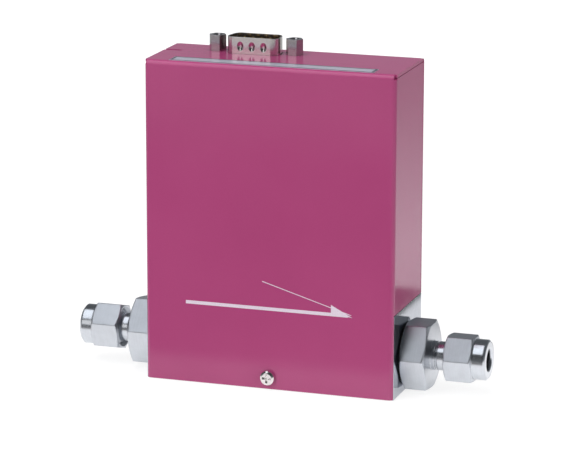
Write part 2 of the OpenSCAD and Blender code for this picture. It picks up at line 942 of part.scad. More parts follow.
module valve_screws() {
    color([0.7, 0.7, 0.7])
        translate([valve_x, 0, flange_z])
            at_corners(bonnet_screw)
                pan_screw(m3_r, bonnet_t + bonnet_screw_bite, m3_head_r, yoke_t - hole_gap);
}

module pole_piece() {
    color([0.68, 0.69, 0.72])
        translate([valve_x, 0, 0]) {
            translate([0, 0, pole_z])
                cylinder(r = sleeve_in - press_gap, h = pole_len);
            translate([0, 0, sleeve_top])
                cylinder(r = stud_r, h = yoke_t + stud_len);
        }
}

module coil_bobbin() {
    gap = sleeve_out + hole_gap;
    color([0.85, 0.85, 0.8])
        translate([valve_x, 0, coil_z0]) {
            washer(gap, gap + bobbin_wall, coil_z1 - coil_z0);
            washer(gap, coil_r, bobbin_wall);
            translate([0, 0, coil_z1 - coil_z0 - bobbin_wall])
                washer(gap, coil_r, bobbin_wall);
        }
}

module valve_coil() {
    inner = sleeve_out + hole_gap + bobbin_wall;
    color([0.55, 0.3, 0.15])
        translate([valve_x, 0, coil_z0 + bobbin_wall])
            washer(inner, coil_r - 0.5, coil_z1 - coil_z0 - 2 * bobbin_wall);
}

// closed frame of steel strap round the coil
module coil_yoke() {
    half = yoke_half - yoke_t;
    color([0.5, 0.52, 0.55])
        translate([valve_x, 0, 0])
            difference() {
                translate([-yoke_half, -yoke_w / 2, flange_z])
                    cube([2 * yoke_half, yoke_w, yoke_top - flange_z]);
                translate([-half, -yoke_w, coil_z0])
                    cube([2 * half, 2 * yoke_w, coil_z1 - coil_z0]);
                translate([0, 0, flange_z - 1])
                    cylinder(r = sleeve_out + hole_gap, h = yoke_t + 2);
                translate([0, 0, coil_z1 - 1])
                    cylinder(r = stud_r + hole_gap, h = yoke_t + 2);
                translate([0, 0, flange_z - 1])
                    at_corners(bonnet_screw)
                        cylinder(r = m3_head_r + 0.3, h = yoke_t + 2);
            }
}

module coil_nut() {
    color([0.75, 0.75, 0.75])
        translate([valve_x, 0, yoke_top])
            difference() {
                cylinder(r = nut_across / 2 / cos(30), h = nut_t, $fn = 6);
                translate([0, 0, -1])
                    cylinder(r = stud_r + thread_gap, h = nut_t + 2);
            }
}

// ---------- board ----------

chip_size = [9, 2.2, 5];
chip_x = [-board_w / 2 + 3, plug_x + 10, plug_x + 22];
chip_drop = 16;                      // below the board's upper edge
capacitor_r = 3;
capacitor_h = 7;
capacitor_x = [plug_x + 18, plug_x + 28];
capacitor_drop = 5;
trimmer_size = [6, 4.5, 6];
trimmer_x = [-board_w / 2 + 14, -board_w / 2 + 22];
trimmer_drop = 5;
trimmer_r = 1.4;
flex_w = 8;
flex_t = 0.3;
flex_z = tube_z - 3;
function bracket_hole_y() = board_back + bracket_t + bracket_hole_in;

module circuit_board() {
    color([0.1, 0.35, 0.2])
        difference() {
            translate([-board_w / 2, board_y, board_z0])
                cube([board_w, board_t, board_h]);
            for (s = [-1, 1])
                for (z = [board_screw_z, corner_hole_z])
                    translate([s * bracket_x, board_y - 1, z])
                        rotate([-90, 0, 0])
                            cylinder(r = m25_r + hole_gap, h = board_t + 2);
        }
}

module board_chips() {
    color([0.08, 0.08, 0.09])
        for (x = chip_x)
            translate([x, board_back, board_z1 - chip_drop])
                cube(chip_size);
}

module board_capacitors() {
    color([0.15, 0.17, 0.3])
        for (x = capacitor_x)
            translate([x, board_back, board_z1 - capacitor_drop])
                rotate([-90, 0, 0])
                    cylinder(r = capacitor_r, h = capacitor_h);
}

module board_trimmers() {
    color([0.15, 0.3, 0.6])
        for (x = trimmer_x)
            translate([x, board_back, board_z1 - trimmer_drop])
                difference() {
                    translate([-trimmer_size[0] / 2, 0, -trimmer_size[2] / 2])
                        cube(trimmer_size);
                    translate([0, trimmer_size[1] - 0.5, 0])
                        rotate([-90, 0, 0])
                            cylinder(r = trimmer_r, h = 1);
                }
}

module board_header() {
    color([0.1, 0.1, 0.1])
        translate([plug_x - cable_w / 2 - header_end, board_back, header_z - header_t / 2])
            cube([cable_w + 2 * header_end, header_h, header_t]);
}

module board_brackets() {
    color([0.75, 0.76, 0.78])
        for (s = [-1, 1])
            translate([s * bracket_x - bracket_w / 2, board_back, block_h])
                difference() {
                    union() {
                        cube([bracket_w, bracket_t, bracket_h]);
                        cube([bracket_w, bracket_foot, bracket_t]);
                    }
                    translate([bracket_w / 2, bracket_t + bracket_hole_in, -1])
                        cylinder(r = m25_r + hole_gap, h = bracket_t + 2);
                    translate([bracket_w / 2, -1, board_screw_z - block_h])
                        rotate([-90, 0, 0])
                            cylinder(r = m25_r + thread_gap, h = bracket_t + 2);
                }
}

module bracket_screws() {
    color([0.7, 0.7, 0.7])
        for (s = [-1, 1])
            translate([s * bracket_x, bracket_hole_y(), block_h + bracket_t])
                pan_screw(m25_r, bracket_t + bracket_screw_bite, m25_head_r, m25_head_h);
}

// screws through the bracket into the board, with their heads inside
module board_screws() {
    color([0.7, 0.7, 0.7])
        for (s = [-1, 1])
            translate([s * bracket_x, board_back + bracket_t, board_screw_z])
                rotate([-90, 0, 0])
                    pan_screw(m25_r, bracket_t + board_t + 0.6, m25_head_r, m25_head_h);
}

// ---------- connector ----------

// outline of the plug's shell, grown by g, with the long side to the front
function shell_outline(g) =
    let (
        r = shell_r + g,
        y = shell_d / 2 - shell_r,
        x = shell_l / 2 - shell_r,
        slant = 10,
        xs = x - 2 * y * tan(slant)
    )
    concat(
        arc([x, -y], r, -90, slant),
        arc([xs, y], r, slant, 90),
        arc([-xs, y], r, 90, 180 - slant),
        arc([-x, -y], r, 180 - slant, 270)
    );

module connector_shell() {
    dimple_r = 0.9;
    color([0.72, 0.71, 0.7])
        translate([plug_x, plug_y, 0])
            difference() {
                union() {
                    translate([-flange_l / 2, -flange_w / 2, under_z - flange_t])
                        cube([flange_l, flange_w, flange_t]);
                    translate([0, 0, under_z - eps])
                        linear_extrude(sheet_t + shell_rise + eps)
                            polygon(shell_outline(0));
                    }
                difference() {
                    translate([0, 0, under_z - flange_t - 1])
                        linear_extrude(flange_t + sheet_t + shell_rise + 2)
                            polygon(shell_outline(-shell_t));
                    at_dimples(shell_t)
                        cylinder(r = dimple_r, h = 2 * shell_t, center = true);
                }
                at_dimples(0)
                    cylinder(r = dimple_r, h = shell_t, center = true);
                for (s = [-1, 1])
                    translate([s * jack_spacing / 2, 0, under_z - flange_t - 1])
                        cylinder(r = jack_stud_r + hole_gap, h = flange_t + 2);
            }
}

// three places along each long side of the shell, depth below its outer face
module at_dimples(depth) {
    for (s = [-1, 1])
        for (x = [-3.75, 0, 3.75])
            translate([x, s * (shell_d / 2 - depth), top_z + shell_rise * 0.5])
                rotate([90, 0, 0])
                    scale([1, 1, 1])
                        children();
}

module connector_insulator() {
    color([0.1, 0.1, 0.1])
        translate([plug_x, plug_y, 0])
            difference() {
                union() {
                    translate([0, 0, under_z - flange_t])
                        linear_extrude(flange_t + sheet_t + insulator_rise)
                            polygon(shell_outline(-shell_t - press_gap));
                    translate([-back_body[0] / 2, -back_body[1] / 2, under_z - flange_t - plug_back])
                        cube([back_body[0], back_body[1], plug_back]);
                }
                at_pins()
                    translate([0, 0, under_z - flange_t - plug_back - 1])
                        cylinder(r = pin_r + press_gap, h = plug_back + 20, $fn = 24);
            }
}

// five places in the front row and four in the rear row
module at_pins() {
    for (row = [0, 1])
        for (i = [0:4 - row])
            translate([(i - (4 - row) / 2) * pin_pitch, (2 * row - 1) * pin_row, 0])
                children();
}

module connector_pins() {
    tip_z = top_z + shell_rise - 0.6;
    back_z = under_z - flange_t - plug_back;
    color([0.85, 0.7, 0.35])
        translate([plug_x, plug_y, 0])
            at_pins() {
                translate([0, 0, back_z - cup_len])
                    cylinder(r = pin_r, h = tip_z - pin_r - back_z + cup_len, $fn = 24);
                translate([0, 0, tip_z - pin_r])
                    sphere(r = pin_r, $fn = 24);
            }
}

module jackscrews() {
    nut_z = under_z - flange_t - jack_nut_t;
    color([0.75, 0.75, 0.77])
        for (s = [-1, 1])
            translate([plug_x + s * jack_spacing / 2, plug_y, 0])
                difference() {
                    union() {
                        translate([0, 0, top_z])
                            cylinder(r = jack_af / 2 / cos(30), h = jack_h, $fn = 6);
                        translate([0, 0, nut_z - 0.8])
                            cylinder(r = jack_stud_r, h = top_z - nut_z + 1);
                    }
                    translate([0, 0, top_z + 0.6])
                        cylinder(r = jack_hole_r, h = jack_h);
                    translate([0, 0, top_z + jack_h - jack_sink])
                        cylinder(r1 = jack_hole_r, r2 = jack_hole_r + 2 * jack_sink, h = 2 * jack_sink);
                }
}

module jackscrew_nuts() {
    color([0.7, 0.7, 0.72])
        for (s = [-1, 1])
            translate([plug_x + s * jack_spacing / 2, plug_y, under_z - flange_t - jack_nut_t])
                difference() {
                    cylinder(r = jack_af / 2 / cos(30), h = jack_nut_t, $fn = 6);
                    translate([0, 0, -1])
                        cylinder(r = jack_stud_r + thread_gap, h = jack_nut_t + 2);
                }
}

// flat cable that drops from the connector and bends forward into the board's header
module ribbon_cable() {
    z0 = under_z - flange_t - plug_back - cup_len;
    y_end = board_back + header_h;
    ro = cable_bend + cable_t;
    cy = plug_y + cable_t / 2 - ro;
    cz = header_z - cable_t / 2 + ro;
    color([0.6, 0.6, 0.62])
        translate([plug_x - cable_w / 2, 0, 0])
            rotate([90, 0, 90])
                linear_extrude(cable_w)
                    polygon(concat(
                        [[plug_y - cable_t / 2, z0]],
                        [[plug_y + cable_t / 2, z0]],
                        arc([cy, cz], ro, 0, -90),
                        [[y_end, cz - ro], [y_end, cz - cable_bend]],
                        arc([cy, cz], cable_bend, -90, 0)
                    ));
}

// two wires from the coil's upper flange to the board
module valve_leads() {
    wire_r = 0.5;
    z = coil_z1 - 3;
    y0 = -coil_r + 0.5;
    color([0.8, 0.75, 0.2])
        for (x = [-1.5, 1.5])
            translate([valve_x + x, board_back, z])
                rotate([-90, 0, 0])
                    cylinder(r = wire_r, h = y0 - board_back, $fn = 24);
}

// thin printed strip from the sensor housing to the board
module sensor_flex() {
    color([0.75, 0.5, 0.15])
        translate([tap_mid - flex_w / 2, board_back, flex_z])
            cube([flex_w, -housing_d / 2 + housing_t + 2 - board_back, flex_t]);
}

// ---------- label ----------

module top_label() {
    color([0.75, 0.74, 0.8])
        translate([-label_l / 2, front_y + label_inset, top_z])
            cube([label_l, label_w, 0.1]);
}

cover();
cover_screws();
base_block();
inlet_fitting();
outlet_fitting();
inlet_nut();
outlet_nut();
inlet_seal_ring();
outlet_seal_ring();
inlet_front_ferrule();
inlet_back_ferrule();
outlet_front_ferrule();
outlet_back_ferrule();
inlet_filter();
bypass_element();
sensor_base();
sensor_seal_rings();
sensor_tube();
upstream_winding();
downstream_winding();
sensor_housing();
sensor_screws();
valve_seat();
valve_plunger();
plunger_seal();
plunger_spring();
valve_bonnet();
valve_seal_ring();
valve_screws();
pole_piece();
coil_bobbin();
valve_coil();
coil_yoke();
coil_nut();
circuit_board();
board_chips();
board_capacitors();
board_trimmers();
board_header();
board_brackets();
bracket_screws();
board_screws();
connector_shell();
connector_insulator();
connector_pins();
jackscrews();
jackscrew_nuts();
ribbon_cable();
valve_leads();
sensor_flex();
top_label();
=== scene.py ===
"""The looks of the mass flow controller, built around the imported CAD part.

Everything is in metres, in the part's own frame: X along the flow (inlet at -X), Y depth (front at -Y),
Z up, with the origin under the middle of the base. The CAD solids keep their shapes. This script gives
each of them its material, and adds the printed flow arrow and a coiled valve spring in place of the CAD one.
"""

import math

import bmesh
import bpy
from mathutils import Matrix, Vector


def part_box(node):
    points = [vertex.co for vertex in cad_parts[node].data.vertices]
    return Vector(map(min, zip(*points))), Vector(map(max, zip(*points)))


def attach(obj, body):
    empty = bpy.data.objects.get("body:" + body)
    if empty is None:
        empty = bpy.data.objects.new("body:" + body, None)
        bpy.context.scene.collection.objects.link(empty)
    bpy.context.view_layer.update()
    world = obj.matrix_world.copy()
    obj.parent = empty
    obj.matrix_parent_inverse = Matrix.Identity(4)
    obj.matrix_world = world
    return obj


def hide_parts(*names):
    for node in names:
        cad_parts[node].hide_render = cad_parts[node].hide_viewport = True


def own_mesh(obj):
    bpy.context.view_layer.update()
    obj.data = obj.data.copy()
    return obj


MM = 0.001
BODY = "controller"

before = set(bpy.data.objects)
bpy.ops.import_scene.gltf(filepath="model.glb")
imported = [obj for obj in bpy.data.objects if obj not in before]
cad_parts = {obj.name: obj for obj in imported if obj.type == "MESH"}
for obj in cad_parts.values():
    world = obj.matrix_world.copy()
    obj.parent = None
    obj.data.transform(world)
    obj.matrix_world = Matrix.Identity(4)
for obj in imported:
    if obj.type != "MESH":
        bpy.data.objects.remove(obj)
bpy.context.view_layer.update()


# ---------------------------------------------------------------- camera

# fitted to the photograph's edges: place, axes and a focal length of 3077 pixels for a 561 pixel wide frame
CAMERA_AT = Vector((0.2896, -0.8787, 0.2742))
CAMERA_RIGHT = Vector((0.9492, 0.3146, 0.0020))
CAMERA_UP = Vector((-0.0764, 0.2242, 0.9715))
FOCAL_PIXELS = 3077.1
FRAME_PIXELS = 561


def matrix_at(at, right, up, back):
    """The matrix that puts a camera or a lamp at that place, looking away from back."""
    return Matrix.Translation(at) @ Matrix((right, up, back)).transposed().to_4x4()


def make_camera():
    """The camera that took the photograph."""
    data = bpy.data.cameras.new("camera")
    data.sensor_fit = "HORIZONTAL"
    data.sensor_width = 36
    data.lens = FOCAL_PIXELS * data.sensor_width / FRAME_PIXELS
    data.clip_start, data.clip_end = 0.05, 20
    camera = bpy.data.objects.new("camera", data)
    right = CAMERA_RIGHT.normalized()
    back = right.cross(CAMERA_UP).normalized()
    up = back.cross(right)
    camera.matrix_world = matrix_at(CAMERA_AT, right, up, back)
    bpy.context.scene.collection.objects.link(camera)
    bpy.context.scene.camera = camera


# ---------------------------------------------------------------- node helpers

def node(tree, kind, inputs=None, **settings):
    """Adds a node. Inputs are values, or sockets to link from."""
    made = tree.nodes.new("ShaderNode" + kind)
    for name, value in settings.items():
        setattr(made, name, value)
    for name, value in (inputs or {}).items():
        if isinstance(value, bpy.types.NodeSocket):
            tree.links.new(value, made.inputs[name])
        else:
            made.inputs[name].default_value = value
    return made


def place(tree, stretch=(1, 1, 1)):
    """The point of the surface in the part's frame, in metres, times stretch."""
    at = node(tree, "TexCoord").outputs["Object"]
    if tuple(stretch) == (1, 1, 1):
        return at
    return node(tree, "VectorMath", {0: at, 1: stretch}, operation="MULTIPLY").outputs[0]


def xyz_of(tree):
    """The x, y and z of the point of the surface, in metres."""
    return node(tree, "SeparateXYZ", {0: place(tree)}).outputs


def noise(tree, at, scale, detail=2.0, rough=0.5):
    """Noise from 0 to 1, with about scale lumps a metre."""
    inputs = {"Vector": at, "Scale": scale, "Detail": detail, "Roughness": rough}
    return node(tree, "TexNoise", inputs).outputs[0]


def math_node(tree, operation, a, b=0.0, c=0.0, clamp=False):
    """One step of arithmetic on up to three values."""
    return node(tree, "Math", {0: a, 1: b, 2: c}, operation=operation, use_clamp=clamp).outputs[0]


def product(tree, *factors):
    """The factors, multiplied together."""
    result = factors[0]
    for factor in factors[1:]:
        result = math_node(tree, "MULTIPLY", result, factor)
    return result


def blend(tree, share, a, b):
    """a times share, plus b times what share leaves of 1."""
    return math_node(tree, "ADD", product(tree, a, share), product(tree, b, 1 - share))


def between(tree, value, low, high, start=0.0, end=1.0):
    """value's place between low and high, as start to end, without going past them."""
    return node(tree, "MapRange", {0: value, 1: low, 2: high, 3: start, 4: end}).outputs[0]


def window(tree, value, start, full, fading, end):
    """1 where value lies between full and fading, and 0 before start and past end."""
    return product(tree, between(tree, value, start, full), between(tree, value, end, fading))


def ramp(tree, value, stops):
    """A colour or grey level for each value. stops are (place, colour or level)."""
    made = node(tree, "ValToRGB", {0: value})
    band = made.color_ramp
    while len(band.elements) < len(stops):
        band.elements.new(0.5)
    for element, (at, colour) in zip(band.elements, stops):
        element.position = at
        element.color = (*colour, 1) if hasattr(colour, "__len__") else (colour, colour, colour, 1)
    return made.outputs[0]


def mixed(tree, share, a, b):
    """Colour a where share is 0, colour b where it is 1."""
    made = node(tree, "Mix", {0: share}, data_type="RGBA")
    for socket, colour in ((made.inputs[6], a), (made.inputs[7], b)):
        if isinstance(colour, bpy.types.NodeSocket):
            tree.links.new(colour, socket)
        else:
            socket.default_value = (*colour, 1)
    return made.outputs[2]


def bumped(tree, height, depth, under=None):
    """A normal with height, from 0 to 1, raised by depth metres over the normal under, where one is given."""
    inputs = {"Height": height, "Distance": depth, "Strength": 1.0}
    if under is not None:
        inputs["Normal"] = under
    return node(tree, "Bump", inputs).outputs[0]


def rounded(tree, radius):
    """A normal that rounds the sharp edges by radius metres, for the light that they catch."""
    return node(tree, "Bevel", {"Radius": radius}, samples=6).outputs[0]


def material(name, metallic=0.0, ior=1.5, **sockets):
    """A new Principled material. Returns it with its tree and shader."""
    made = bpy.data.materials.new(name)
    made.use_nodes = True
    shader = made.node_tree.nodes["Principled BSDF"]
    shader.inputs["Metallic"].default_value = metallic
    shader.inputs["IOR"].default_value = ior
    for socket, value in sockets.items():
        shader.inputs[socket.replace("_", " ")].default_value = value
    return made, made.node_tree, shader


def finish_with(tree, shader, colour, roughness, normal, metallic=None):
    """Links what varies over the surface to the shader."""
    tree.links.new(colour, shader.inputs["Base Color"])
    tree.links.new(roughness, shader.inputs["Roughness"])
    tree.links.new(normal, shader.inputs["Normal"])
    if metallic is not None:
        tree.links.new(metallic, shader.inputs["Metallic"])


# ---------------------------------------------------------------- materials

# the thinner coat along the cover's folds, as distances in from its outside faces
FOLD_REACH = 0.8 * MM       # where it begins
FOLD_CREST = 0.05 * MM      # where it is thinnest
THIN_COAT = (0.50, 0.11, 0.26)


def cover_paint():
    """Magenta baked enamel: slight orange peel, a thinner coat on the folds and faint handling marks."""
    made, tree, shader = material("cover_paint")
    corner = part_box("cover")[1]
    at = place(tree)
    drift = noise(tree, at, 28, 3)
    pigment = noise(tree, at, 5200, 2, 0.6)
    peel = noise(tree, at, 900, 2, 0.45)
    waves = noise(tree, at, 170, 1, 0.4)
    smudges = noise(tree, place(tree, (1, 1, 0.45)), 75, 4, 0.62)
    _, y, z = xyz_of(tree)
    depth = math_node(tree, "ABSOLUTE", y)
    near_side = between(tree, depth, corner.y - FOLD_REACH, corner.y - FOLD_CREST)
    near_top = between(tree, z, corner.z - FOLD_REACH, corner.z - FOLD_CREST)
    fold = product(tree, near_side, near_top)
    tone = blend(tree, 0.55, drift, pigment)
    colour = ramp(tree, tone, [(0.30, (0.355, 0.047, 0.155)), (0.70, (0.392, 0.058, 0.176))])
    colour = mixed(tree, product(tree, fold, 0.35), colour, THIN_COAT)
    gloss = between(tree, smudges, 0.35, 0.75, 0.10, 0.17)
    gloss = math_node(tree, "ADD", gloss, product(tree, fold, 0.06))
    normal = bumped(tree, waves, 0.010 * MM)
    normal = bumped(tree, peel, 0.0022 * MM, normal)
    finish_with(tree, shader, colour, gloss, normal)
    return made


HEXAGON_LENGTH = 8.0 * MM       # hexagon of the fitting's body, which starts at the seal ring's outer face
COLLAR_LENGTH = 4.2 * MM        # turned end of the nut, outside its hexagon
FACE_EDGE = 0.05 * MM           # half the width in which the finish changes from one face to the next


def hexagon_share(tree):
    """1 on the hexagons of the fittings, where the flats are drawn and dull, and 0 on their turned parts."""
    body_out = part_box("outlet_seal_ring")[1].x + HEXAGON_LENGTH
    nut_low, nut_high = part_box("outlet_nut")
    nut_in, nut_out = nut_low.x, nut_high.x - COLLAR_LENGTH
    out = math_node(tree, "ABSOLUTE", xyz_of(tree)[0])
    body = between(tree, out, body_out - FACE_EDGE, body_out + FACE_EDGE, 1, 0)
    nut = window(tree, out, nut_in - FACE_EDGE, nut_in + FACE_EDGE, nut_out - FACE_EDGE, nut_out + FACE_EDGE)
    return math_node(tree, "MAXIMUM", body, nut)


DIMPLE_PITCH = 3.75 * MM        # between the dimples pressed into both long sides of the connector's shell
DIMPLE_DROP = 2.85 * MM         # from the shell's rim to their middles
DIMPLE_FLOOR = 0.25 * MM        # radius of a dimple's flat bottom
DIMPLE_RADIUS = 1.10 * MM
DIMPLE_SQUEEZE = 0.70           # its width over its height


def dimple_depth(tree):
    """1 in the middle of each dimple of the connector's shell and 0 outside them."""
    low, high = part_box("connector_shell")
    x, _, z = xyz_of(tree)
    up = product(tree, math_node(tree, "SUBTRACT", z, high.z - DIMPLE_DROP), DIMPLE_SQUEEZE)
    deepest = 0.0
    for n in (-1, 0, 1):
        out = math_node(tree, "SUBTRACT", x, (low.x + high.x) / 2 + n * DIMPLE_PITCH)
        square = math_node(tree, "MULTIPLY_ADD", out, out, product(tree, up, up))
        distance = math_node(tree, "SQRT", square)
        reach = {0: distance, 1: DIMPLE_FLOOR, 2: DIMPLE_RADIUS, 3: 1.0, 4: 0.0}
        deep = node(tree, "MapRange", reach, interpolation_type="SMOOTHSTEP").outputs[0]
        deepest = math_node(tree, "MAXIMUM", deep, deepest)
    return deepest


def steel(name, colour, gloss, along=(1, 1, 1), scale=5000, depth=0.0012,
          wide=0.0, spots=0.0, flats=0.0, edge=0.0, dimples=0.0):
    """Bare metal with a fine lay of tool marks.

    gloss is the lowest and highest roughness. along stretches the marks, scale is how many there are in a
    metre and depth their height in mm. wide is the height in mm of slower waviness, spots the roughness
    that small pits add and flats what the fittings' hexagons add. edge rounds the corners by so many mm,
    and dimples is the depth in mm of those in the connector's shell.
    """
    made, tree, shader = material(name, metallic=1.0)
    marks = noise(tree, place(tree, along), scale, 3, 0.6)
    slow = noise(tree, place(tree), 60, 3)
    tint = noise(tree, place(tree), 420, 3, 0.6)
    dark = tuple(0.88 * c for c in colour)
    shade = ramp(tree, blend(tree, 0.5, marks, tint), [(0.32, dark), (0.66, colour)])
    rough = between(tree, blend(tree, 0.5, marks, slow), 0.3, 0.7, *gloss)
    if spots:
        cells = node(tree, "TexVoronoi", {"Vector": place(tree), "Scale": 700}).outputs[0]
        pit = between(tree, cells, 0.0, 0.16, 1.0, 0.0)
        rough = math_node(tree, "MULTIPLY_ADD", pit, spots, rough)
    if flats:
        rough = math_node(tree, "MULTIPLY_ADD", hexagon_share(tree), flats, rough)
    normal = bumped(tree, marks, depth * MM, rounded(tree, edge * MM) if edge else None)
    if wide:
        normal = bumped(tree, noise(tree, place(tree), 260, 2), wide * MM, normal)
    if dimples:
        raised = math_node(tree, "SUBTRACT", 1.0, dimple_depth(tree))
        normal = bumped(tree, raised, dimples * MM, normal)
    finish_with(tree, shader, shade, rough, normal)
    return made


def plastic(name, dark, light, gloss=(0.35, 0.5), grain=2600, depth=0.004):
    """Moulded plastic or rubber with a fine grain and a slight drift of tone."""
    made, tree, shader = material(name, ior=1.49)
    drift = noise(tree, place(tree), 150, 3)
    fine = noise(tree, place(tree), grain, 3, 0.55)
    colour = ramp(tree, blend(tree, 0.6, drift, fine), [(0.3, dark), (0.7, light)])
    rough = between(tree, fine, 0.3, 0.7, *gloss)
    finish_with(tree, shader, colour, rough, bumped(tree, fine, depth * MM))
    return made


# the dark line printed round the label, from its inner side to its outer, in mm from the film's edge: where
# it begins, is full, starts to fade and is gone
LABEL_LINE = (0.95, 0.80, 0.16, 0.06)


def label_film():
    """Pale silver film, with a dark line printed round its edge. It carries no words."""
    made, tree, shader = material("label_film", metallic=0.35)
    low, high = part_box("top_label")
    at = place(tree)
    point = xyz_of(tree)
    past_edge = []
    for axis in (0, 1):
        middle, half = (low[axis] + high[axis]) / 2, (high[axis] - low[axis]) / 2
        off = math_node(tree, "ABSOLUTE", math_node(tree, "SUBTRACT", point[axis], middle))
        past_edge.append(math_node(tree, "SUBTRACT", off, half))
    inward = math_node(tree, "MAXIMUM", *past_edge)
    line = window(tree, inward, *(-inset * MM for inset in LABEL_LINE))
    grain = noise(tree, place(tree, (1, 6, 1)), 2500, 3, 0.6)
    tone = blend(tree, 0.5, grain, noise(tree, at, 120, 3))
    film = ramp(tree, tone, [(0.3, (0.49, 0.475, 0.57)), (0.7, (0.60, 0.585, 0.68))])
    colour = mixed(tree, product(tree, line, 0.92), film, (0.05, 0.035, 0.07))
    rough = between(tree, grain, 0.3, 0.7, 0.26, 0.38)
    finish_with(tree, shader, colour, rough, bumped(tree, noise(tree, at, 380, 2), 0.006 * MM))
    return made


def winding(name, dark, light, pitch, axis, depth=0.02):
    """Enamelled wire, wound in even turns along an axis, with painted shade in the grooves between the turns.
    pitch and depth are in mm.
    """
    made, tree, shader = material(name, metallic=0.85, Coat_Weight=0.6, Coat_Roughness=0.12)
    along = xyz_of(tree)[axis]
    turns = math_node(tree, "SINE", product(tree, along, 2 * math.pi / (pitch * MM)))
    turn = between(tree, turns, -1, 1)
    drift = noise(tree, place(tree), 900, 3)
    # painted shade: darker in the grooves between the turns and lighter on their crests
    colour = ramp(tree, blend(tree, 0.6, turn, drift), [(0.2, dark), (0.8, light)])
    rough = between(tree, drift, 0.3, 0.7, 0.22, 0.38)
    finish_with(tree, shader, colour, rough, bumped(tree, turn, depth * MM))
    return made


def copper_runs(tree, at, scale, width):
    """1 on a net of lines, and 0 between them."""
    black, white = (0, 0, 0, 1), (1, 1, 1, 1)
    lines = {"Vector": at, "Scale": scale, "Mortar Size": width, "Mortar Smooth": 0.2}
    return node(tree, "TexBrick", {**lines, "Color1": black, "Color2": black, "Mortar": white}).outputs[0]


def board_laminate():
    """Green solder mask over copper runs on a glass laminate."""
    made, tree, shader = material("board_laminate")
    upright = node(tree, "Mapping", {0: place(tree), 2: (math.pi / 2, 0, 0)}).outputs[0]
    weave = noise(tree, place(tree, (1, 1, 6)), 1500, 2)
    cells = node(tree, "TexVoronoi", {"Vector": upright, "Scale": 160.0}).outputs[0]
    via = between(tree, cells, 0.06, 0.1, 1, 0)
    across = copper_runs(tree, place(tree), 120.0, 0.05)
    copper = math_node(tree, "MAXIMUM", across, copper_runs(tree, upright, 130.0, 0.06))
    green = ramp(tree, weave, [(0.3, (0.010, 0.085, 0.035)), (0.7, (0.014, 0.105, 0.045))])
    mask = mixed(tree, copper, green, (0.03, 0.19, 0.075))
    colour = mixed(tree, via, mask, (0.55, 0.50, 0.38))
    rough = between(tree, weave, 0.3, 0.7, 0.28, 0.4)
    finish_with(tree, shader, colour, rough, bumped(tree, copper, 0.02 * MM), via)
    return made


WIRE_PITCH = 1.27 * MM      # of the ribbon's wires
MARK_WIDTH = 0.8 * MM       # of the colour along the ribbon's marked edge
MARK_FADE = 0.5 * MM


def ribbon():
    """Grey flat cable: ridges for its nine wires, with painted shade between them and one edge marked."""
    made, tree, shader = material("cable_grey")
    mark_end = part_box("ribbon_cable")[0].x + MARK_WIDTH
    across = xyz_of(tree)[0]
    wave = math_node(tree, "ABSOLUTE", math_node(tree, "SINE", product(tree, across, math.pi / WIRE_PITCH)))
    mark = between(tree, across, mark_end, mark_end + MARK_FADE, 1, 0)
    # painted shade: darker in the grooves between the wires
    grey = ramp(tree, wave, [(0.0, (0.16, 0.16, 0.17)), (0.5, (0.28, 0.28, 0.29))])
    colour = mixed(tree, mark, grey, (0.45, 0.05, 0.05))
    rough = between(tree, noise(tree, place(tree), 2000), 0.3, 0.7, 0.38, 0.5)
    finish_with(tree, shader, colour, rough, bumped(tree, wave, 0.2 * MM))
    return made


def arrow_ink():
    """Screen-printed white ink on the paint."""
    made, tree, shader = material("arrow_ink")
    fine = noise(tree, place(tree), 4200, 3, 0.6)
    colour = ramp(tree, fine, [(0.25, (0.60, 0.49, 0.60)), (0.6, (0.72, 0.63, 0.71))])
    rough = between(tree, fine, 0.3, 0.7, 0.3, 0.45)
    finish_with(tree, shader, colour, rough, bumped(tree, fine, 0.002 * MM))
    return made


# what steel() needs for each metal slot
METALS = {
    "stainless_block": dict(colour=(0.605, 0.625, 0.685), gloss=(0.05, 0.12), along=(0.03, 1, 0.03),
                            scale=4200, depth=0.0006, wide=0.004, edge=0.15),
    "stainless_turned": dict(colour=(0.655, 0.675, 0.715), gloss=(0.15, 0.24), along=(1, 0.012, 0.012),
                             scale=5200, depth=0.0008, wide=0.010, spots=0.08, flats=0.19, edge=0.6),
    "stainless_small": dict(colour=(0.60, 0.60, 0.62), gloss=(0.16, 0.30), scale=3000, depth=0.0015),
    "nickel": dict(colour=(0.82, 0.80, 0.79), gloss=(0.14, 0.24), scale=2200, depth=0.0010,
                   wide=0.006, spots=0.05, edge=0.12),
    "gold_plate": dict(colour=(0.66, 0.46, 0.18), gloss=(0.12, 0.22), scale=3500, depth=0.0008),
    "soft_iron": dict(colour=(0.44, 0.45, 0.47), gloss=(0.26, 0.40), scale=2600, depth=0.002),
    "aluminium_housing": dict(colour=(0.66, 0.67, 0.69), gloss=(0.34, 0.46), scale=3600, depth=0.004),
}

# what plastic() needs for each plastic or rubber slot
PLASTICS = {
    "seal_rubber": dict(dark=(0.009, 0.009, 0.010), light=(0.020, 0.020, 0.021), gloss=(0.5, 0.7),
                        grain=3200),
    "black_plastic": dict(dark=(0.010, 0.010, 0.011), light=(0.022, 0.022, 0.024), gloss=(0.34, 0.5),
                          depth=0.003),
    "white_plastic": dict(dark=(0.56, 0.54, 0.48), light=(0.66, 0.64, 0.58), gloss=(0.32, 0.46)),
    "blue_plastic": dict(dark=(0.012, 0.045, 0.26), light=(0.022, 0.07, 0.34), gloss=(0.25, 0.38)),
    "wire_yellow": dict(dark=(0.60, 0.42, 0.02), light=(0.72, 0.52, 0.04), gloss=(0.3, 0.42)),
    "flex_amber": dict(dark=(0.40, 0.13, 0.012), light=(0.52, 0.19, 0.02), gloss=(0.18, 0.3)),
}


